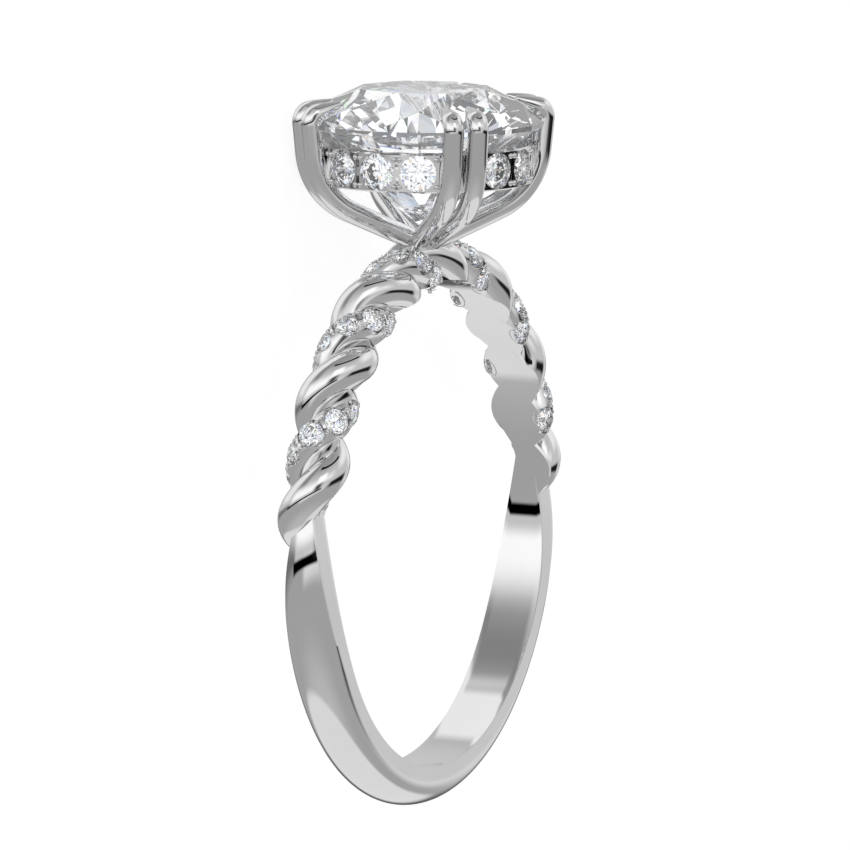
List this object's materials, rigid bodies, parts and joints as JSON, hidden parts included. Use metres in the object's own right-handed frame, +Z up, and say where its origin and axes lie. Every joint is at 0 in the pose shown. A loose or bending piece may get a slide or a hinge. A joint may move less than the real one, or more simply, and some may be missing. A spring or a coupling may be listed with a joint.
{
  "type": "twisted shank ring",
  "caption": "Finger ring whose upper band is a two-strand twist, plain and stone-set, under a basket head with double claws, a round stone and a hidden halo.",
  "frame": {"origin": "middle of the bounding box on the surface the ring lies on", "axes": "+Y from the back of the band towards the centre stone, +Z up from the surface, +X across the finger hole"},
  "size_m": [0.0198, 0.025, 0.0082],
  "materials": {
    "white_gold": "polished white gold",
    "diamond": "faceted and polished"
  },
  "bodies": {
    "root": {"ring_setting": "white_gold", "centre_stone": "diamond", "halo_stone_01": "diamond", "halo_stone_02": "diamond", "halo_stone_03": "diamond", "halo_stone_04": "diamond", "halo_stone_05": "diamond", "halo_stone_06": "diamond", "halo_stone_07": "diamond", "halo_stone_08": "diamond", "halo_stone_09": "diamond", "halo_stone_10": "diamond", "halo_stone_11": "diamond", "halo_stone_12": "diamond", "pave_left": "diamond", "pave_right": "diamond"}
  },
  "joints": []
}
